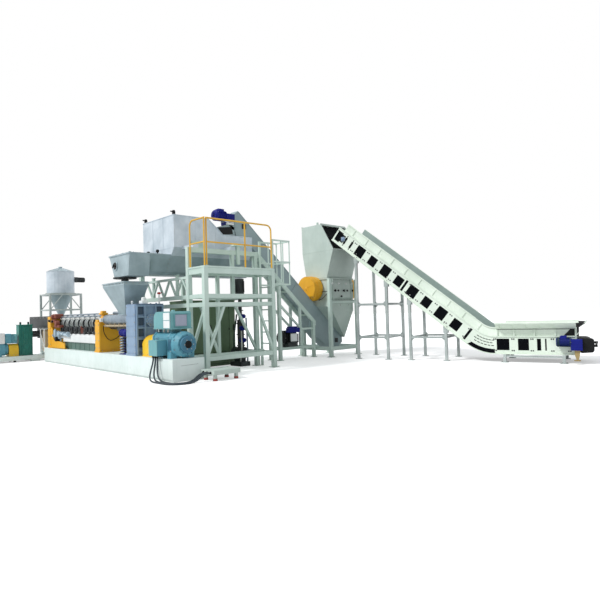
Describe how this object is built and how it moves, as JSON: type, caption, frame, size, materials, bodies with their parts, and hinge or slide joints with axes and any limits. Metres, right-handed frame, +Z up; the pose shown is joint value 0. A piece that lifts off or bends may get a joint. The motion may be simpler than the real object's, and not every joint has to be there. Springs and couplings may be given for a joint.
{
  "type": "plastic pelletizing line",
  "caption": "Plastic pelletizing line with a belt infeed, granulator, enclosed conveyor, feed bin, work platform and a main and a second stage extruder.",
  "frame": {"origin": "on the floor, under the middle of the main extruder base", "axes": "+X along the main extruder from its die to its motor, +Y across the line towards the granulator, +Z up"},
  "size_m": [17.8162, 10.9249, 4.26],
  "materials": {
    "pale_green_paint": "satin",
    "sage_green_paint": "satin",
    "brushed_sheet_steel": "brushed",
    "galvanised_steel": "dull",
    "safety_yellow_paint": "satin",
    "orange_paint": "satin",
    "blue_grey_paint": "satin",
    "teal_motor_paint": "satin",
    "dark_teal_paint": "satin",
    "deep_blue_paint": "satin",
    "olive_green_paint": "satin",
    "black_rubber": "matt",
    "dark_cast_iron": "rough",
    "cable_sheath": "matt"
  },
  "bodies": {
    "root": {"extruder_base": "pale_green_paint", "gearbox": "blue_grey_paint", "coupling_guard": "safety_yellow_paint", "main_motor": "teal_motor_paint", "motor_blower": "teal_motor_paint", "barrel": "dark_cast_iron", "cooling_duct": "pale_green_paint", "mid_support": "orange_paint", "front_support": "orange_paint", "feed_hopper": "brushed_sheet_steel", "bin": "brushed_sheet_steel", "screw_trough": "brushed_sheet_steel", "trough_lid": "brushed_sheet_steel", "outlet_spout": "dark_cast_iron", "trough_drive": "dark_cast_iron", "platform_frame": "pale_green_paint", "platform_deck": "pale_green_paint", "handrail_front": "safety_yellow_paint", "handrail_end": "safety_yellow_paint", "access_ladder": "pale_green_paint", "control_cabinet": "olive_green_paint", "water_pump": "dark_cast_iron", "conveyor_casing": "galvanised_steel", "casing_drive": "deep_blue_paint", "casing_stand": "pale_green_paint", "granulator_hopper": "sage_green_paint", "cutting_chamber": "sage_green_paint", "flywheel_guard": "orange_paint", "pulley_guard": "orange_paint", "granulator_funnel": "sage_green_paint", "granulator_frame": "pale_green_paint", "granulator_motor": "deep_blue_paint", "infeed_side_frames": "pale_green_paint", "infeed_belt": "black_rubber", "infeed_head_pulley": "dark_cast_iron", "infeed_tail_pulley": "dark_cast_iron", "infeed_tail_guard": "galvanised_steel", "infeed_near_skirt": "pale_green_paint", "infeed_far_skirt": "pale_green_paint", "infeed_loading_hopper": "pale_green_paint", "infeed_tall_stand": "galvanised_steel", "infeed_mid_stand": "galvanised_steel", "infeed_short_legs": "dark_cast_iron", "infeed_drive": "deep_blue_paint", "second_base": "pale_green_paint", "second_motor": "teal_motor_paint", "second_coupling_guard": "safety_yellow_paint", "second_gearbox": "dark_teal_paint", "second_barrel": "dark_cast_iron", "transfer_hood": "dark_cast_iron", "screen_changer": "dark_cast_iron", "cyclone_shell": "brushed_sheet_steel", "cyclone_roof": "brushed_sheet_steel", "cyclone_cone": "brushed_sheet_steel", "cyclone_stand": "galvanised_steel", "cyclone_motor": "dark_cast_iron", "cable_tray": "sage_green_paint", "motor_cable_1": "cable_sheath", "motor_cable_2": "cable_sheath", "motor_cable_3": "cable_sheath"}
  },
  "joints": []
}
